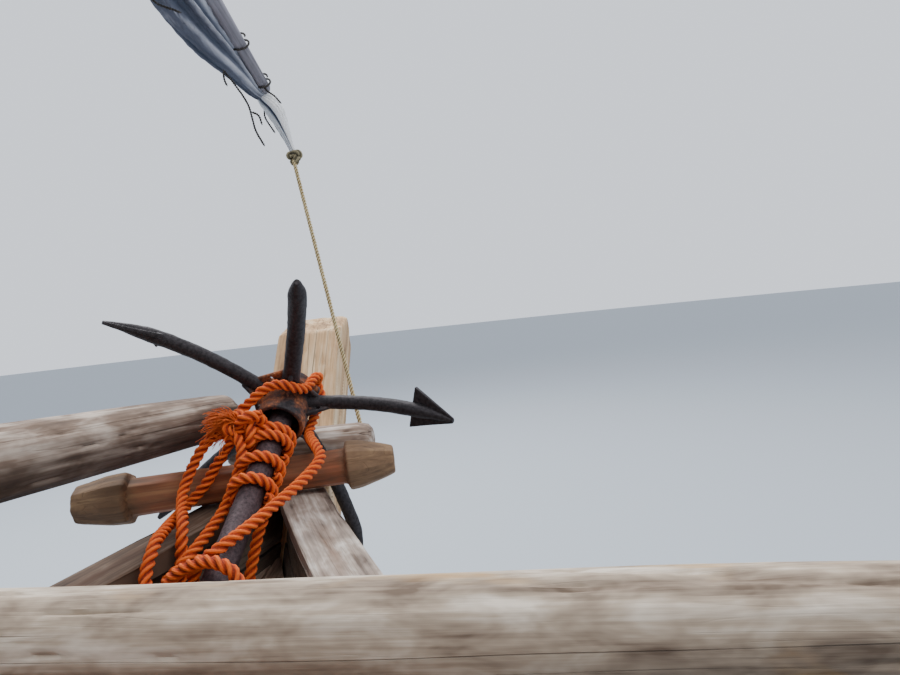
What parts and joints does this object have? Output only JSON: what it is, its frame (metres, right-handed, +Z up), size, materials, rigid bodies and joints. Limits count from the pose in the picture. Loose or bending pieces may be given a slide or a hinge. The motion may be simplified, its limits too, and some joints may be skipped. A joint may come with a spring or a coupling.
{
  "type": "dhow sailing boat",
  "caption": "Wooden lateen-rigged dhow afloat, raked stem, transom stern, yard lowered with furled sail, and a five-armed grapnel stowed at the bow.",
  "frame": {"origin": "amidships on the centreline, on the water surface", "axes": "+Y towards the bow, +X to starboard, +Z up"},
  "size_m": [2.6138, 8.8486, 6.3153],
  "materials": {
    "dark_wood": "dark weathered spars and timbers",
    "bleached_wood": "sun-bleached, cracked timber",
    "hull_wood": "weathered planks, grey-brown and dry",
    "sailcloth": "grey-white cotton canvas, furled",
    "rope": "tan laid rope",
    "beam_wood": "warm orange-brown worn hardwood",
    "rusty_iron": "black iron with brown rust, rough",
    "orange_rope": "faded orange laid rope"
  },
  "bodies": {
    "hull": {"keel": "dark_wood", "stem_post": "bleached_wood", "sternpost": "dark_wood", "transom": "hull_wood", "bottom_planks_aft_starboard": "hull_wood", "bottom_planks_aft_port": "hull_wood", "bottom_planks_fore_starboard": "hull_wood", "bottom_planks_fore_port": "hull_wood", "side_planks_aft_starboard": "hull_wood", "side_planks_aft_port": "hull_wood", "side_planks_middle_starboard": "hull_wood", "side_planks_middle_port": "hull_wood", "side_planks_fore_starboard": "hull_wood", "side_planks_fore_port": "hull_wood", "sheer_strake_starboard": "hull_wood", "sheer_strake_port": "hull_wood", "cap_rail_starboard": "bleached_wood", "cap_rail_port": "bleached_wood", "keelson": "dark_wood", "frames_starboard": "hull_wood", "frames_port": "hull_wood", "fore_deck": "bleached_wood", "aft_deck": "hull_wood", "mast_step": "dark_wood", "floor_boards": "hull_wood", "mast": "dark_wood", "mast_thwart": "hull_wood", "middle_thwart": "hull_wood", "aft_thwart": "hull_wood", "halyard": "rope", "shroud_fore_starboard": "rope", "shroud_fore_port": "rope", "shroud_aft_starboard": "rope", "shroud_aft_port": "rope", "bow_crossbeam": "beam_wood", "bow_log": "bleached_wood", "cross_log": "bleached_wood", "anchor_crown": "rusty_iron", "anchor_shank": "rusty_iron", "anchor_arm_top": "rusty_iron", "anchor_arm_left": "rusty_iron", "anchor_arm_lower_left": "rusty_iron", "anchor_arm_lower_right": "rusty_iron", "anchor_arm_right": "rusty_iron", "anchor_rope": "orange_rope", "anchor_bights": "orange_rope", "anchor_rope_coil": "orange_rope", "stowed_spar": "dark_wood", "gudgeon_lower": "rusty_iron", "gudgeon_upper": "rusty_iron"},
    "yard": {"yard_lower_spar": "dark_wood", "yard_upper_spar": "dark_wood", "furled_sail": "sailcloth", "parrel": "rope"},
    "tack": {"tack_line": "rope"},
    "rudder": {"rudder_blade": "hull_wood", "tiller": "dark_wood", "pintle_lower": "rusty_iron", "pintle_upper": "rusty_iron"},
    "sheave": {"masthead_sheave": "dark_wood"}
  },
  "joints": [
    {"name": "rudder", "type": "hinge", "parent": "hull", "child": "rudder", "pos_m": [0, -4.05426, 0.10111], "axis": [0, -0.25, 0.9682], "range_deg": [-38, 38]},
    {"name": "masthead_sheave", "type": "hinge", "parent": "hull", "child": "sheave", "pos_m": [0, 1.88605, 5.02], "axis": [1, 0, 0], "continuous": true},
    {"name": "yard_slew", "type": "hinge", "parent": "hull", "child": "yard", "pos_m": [-0.23444, 1.75972, 3.10877], "axis": [0, 0, 1], "range_deg": [-7, 4]},
    {"name": "tack_swing", "type": "hinge", "parent": "hull", "child": "tack", "pos_m": [0.156, 3.9366, 1.238], "axis": [0, 1, 0], "range_deg": [-13, 22]}
  ],
  "couplings": [
    {"joint": "tack_swing", "follows": "yard_slew", "ratio": -3.05}
  ]
}
